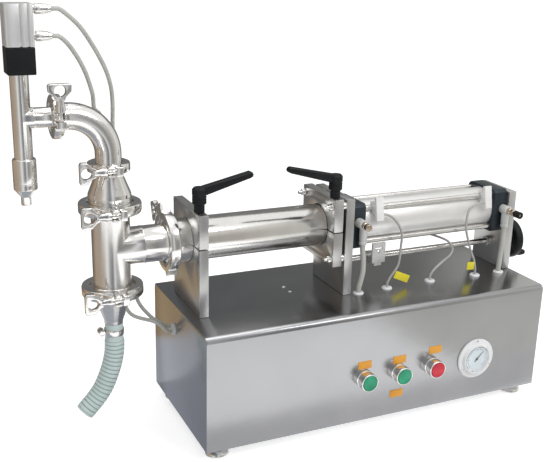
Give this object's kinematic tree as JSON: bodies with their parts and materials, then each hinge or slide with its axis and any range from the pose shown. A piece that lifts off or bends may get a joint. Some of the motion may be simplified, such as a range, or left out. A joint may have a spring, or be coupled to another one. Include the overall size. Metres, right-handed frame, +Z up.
{
  "type": "piston filler",
  "caption": "Bench-top pneumatic piston filler that draws liquid through a hose with one cylinder and pushes it out of a valved nozzle in equal doses.",
  "frame": {"origin": "on the standing surface, under the centre of the bounding box of the rigid pieces", "axes": "+X along the process line from the nozzle to the handwheel, +Y from the front panel to the back, +Z up"},
  "size_m": [0.9024, 0.2748, 0.6658],
  "materials": {
    "cabinet_steel": "fine vertical brush, satin",
    "plate_steel": "machined, satin",
    "polished_steel": "mirror polished stainless steel",
    "bare_aluminium": "drawn and anodised, satin",
    "black_aluminium": "black anodised",
    "black_plastic": "moulded, slightly ribbed",
    "white_plastic": "smooth",
    "grey_plastic": "smooth",
    "bright_cover": "smooth and bright",
    "green_lens": "moulded lens",
    "red_lens": "moulded lens",
    "clear_window": "clear",
    "clear_tube": "translucent flexible tube",
    "hose_plastic": "translucent flexible hose"
  },
  "bodies": {
    "frame": {"cabinet_shell": "cabinet_steel", "base_tray": "cabinet_steel", "gauge_case": "white_plastic", "gauge_window": "clear_window", "front_post": "plate_steel", "front_post_cap": "plate_steel", "rear_block": "plate_steel", "rear_block_cap": "plate_steel", "cylinder_plate": "plate_steel", "rear_plate": "plate_steel", "filling_cylinder": "polished_steel", "air_front_cap": "black_aluminium", "air_barrel": "bare_aluminium", "air_rear_cap": "black_aluminium", "front_pickup": "bright_cover", "rear_pickup": "bright_cover", "front_port_fitting": "grey_plastic", "rear_port_fitting": "grey_plastic", "tee": "polished_steel", "reducer": "polished_steel", "elbow": "polished_steel", "nozzle_body": "polished_steel", "nozzle_tip": "polished_steel", "nozzle_adapter": "black_plastic", "nozzle_actuator": "bare_aluminium", "hose_spigot": "polished_steel", "hose_clamp": "polished_steel", "reducer_clamp": "polished_steel", "suction_clamp": "polished_steel", "elbow_clamp": "polished_steel", "cylinder_clamp": "polished_steel", "arm_clamp": "polished_steel", "suction_hose": "hose_plastic", "front_port_tube": "clear_tube", "rear_port_tube": "clear_tube", "upper_air_tube": "clear_tube", "lower_air_tube": "clear_tube", "front_pickup_cable": "grey_plastic", "rear_pickup_cable": "grey_plastic", "lower_pickup_cable": "grey_plastic"},
    "piston": {"filling_piston": "white_plastic", "piston_rod": "polished_steel"},
    "front_lever": {"front_clamp_lever": "black_plastic"},
    "rear_lever": {"rear_clamp_lever": "black_plastic"},
    "adjuster": {"handwheel": "black_plastic"},
    "crank": {"crank_knob": "black_plastic"},
    "carrier": {"stroke_carrier": "bare_aluminium"},
    "start_cap": {"start_button": "green_lens"},
    "mode_cap": {"mode_button": "green_lens"},
    "stop_cap": {"stop_button": "red_lens"},
    "pointer": {"gauge_pointer": "black_plastic"},
    "throttle": {"rear_throttle_knob": "black_plastic"},
    "valve_stem": {"nozzle_stem": "polished_steel"},
    "suction_valve": {"suction_poppet": "polished_steel"},
    "discharge_valve": {"discharge_poppet": "polished_steel"},
    "reducer_nut": {"reducer_wing_nut": "polished_steel"},
    "suction_nut": {"suction_wing_nut": "polished_steel"},
    "elbow_nut": {"elbow_wing_nut": "polished_steel"},
    "cylinder_nut": {"cylinder_wing_nut": "polished_steel"},
    "arm_nut": {"arm_wing_nut": "polished_steel"}
  },
  "joints": [
    {"name": "piston_stroke", "type": "slide", "parent": "frame", "child": "piston", "axis": [1, 0, 0], "range_m": [0, 0.19]},
    {"name": "front_lever_turn", "type": "hinge", "parent": "frame", "child": "front_lever", "pos_m": [-0.19273, -0.0174, 0.3142], "axis": [0, 0, 1], "range_deg": [-15, 120]},
    {"name": "rear_lever_turn", "type": "hinge", "parent": "frame", "child": "rear_lever", "pos_m": [0.03497, -0.0174, 0.3142], "axis": [0, 0, 1], "range_deg": [-15, 120]},
    {"name": "handwheel_turn", "type": "hinge", "parent": "frame", "child": "adjuster", "pos_m": [0.38277, 0.022, 0.2466], "axis": [1, 0, 0], "range_deg": [-1440, 10800]},
    {"name": "carrier_travel", "type": "slide", "parent": "frame", "child": "carrier", "axis": [1, 0, 0], "range_m": [-0.0121, 0.0901]},
    {"name": "crank_knob_spin", "type": "hinge", "parent": "adjuster", "child": "crank", "pos_m": [0.44133, 0.00861, 0.22032], "axis": [1, 0, 0], "continuous": true},
    {"name": "start_press", "type": "slide", "parent": "frame", "child": "start_cap", "axis": [0, 1, 0], "range_m": [0, 0.004], "stiffness_N_per_m": 500, "springref_m": -0.002},
    {"name": "mode_press", "type": "slide", "parent": "frame", "child": "mode_cap", "axis": [0, 1, 0], "range_m": [0, 0.004], "stiffness_N_per_m": 500, "springref_m": -0.002},
    {"name": "stop_press", "type": "slide", "parent": "frame", "child": "stop_cap", "axis": [0, 1, 0], "range_m": [0, 0.004], "stiffness_N_per_m": 500, "springref_m": -0.002},
    {"name": "pointer_sweep", "type": "hinge", "parent": "frame", "child": "pointer", "pos_m": [0.26358, -0.1146, 0.093], "axis": [0, 1, 0], "range_deg": [-180, 90]},
    {"name": "throttle_turn", "type": "hinge", "parent": "frame", "child": "throttle", "pos_m": [0.37067, -0.0581, 0.3177], "axis": [0, 1, 0], "range_deg": [-360, 1080]},
    {"name": "nozzle_valve_lift", "type": "slide", "parent": "frame", "child": "valve_stem", "axis": [0, 0, 1], "range_m": [0, 0.01]},
    {"name": "suction_valve_lift", "type": "slide", "parent": "frame", "child": "suction_valve", "axis": [0, 0, 1], "range_m": [0, 0.008], "stiffness_N_per_m": 150, "springref_m": -0.01},
    {"name": "discharge_valve_lift", "type": "slide", "parent": "frame", "child": "discharge_valve", "axis": [0, 0, 1], "range_m": [0, 0.008], "stiffness_N_per_m": 150, "springref_m": -0.01},
    {"name": "reducer_nut_turn", "type": "hinge", "parent": "frame", "child": "reducer_nut", "pos_m": [-0.35673, -0.0305, 0.3782], "axis": [1, 0, 0], "continuous": true},
    {"name": "suction_nut_turn", "type": "hinge", "parent": "frame", "child": "suction_nut", "pos_m": [-0.35673, -0.0305, 0.2502], "axis": [1, 0, 0], "continuous": true},
    {"name": "elbow_nut_turn", "type": "hinge", "parent": "frame", "child": "elbow_nut", "pos_m": [-0.35673, -0.015, 0.4382], "axis": [1, 0, 0], "continuous": true},
    {"name": "cylinder_nut_turn", "type": "hinge", "parent": "frame", "child": "cylinder_nut", "pos_m": [-0.22973, 0.07875, 0.34789], "axis": [0, 0.9272, -0.3746], "continuous": true},
    {"name": "arm_nut_turn", "type": "hinge", "parent": "frame", "child": "arm_nut", "pos_m": [-0.38853, -0.015, 0.5535], "axis": [0, 0, 1], "continuous": true}
  ],
  "couplings": [
    {"joint": "carrier_travel", "follows": "handwheel_turn", "m_per_rad": 0.00047746}
  ]
}
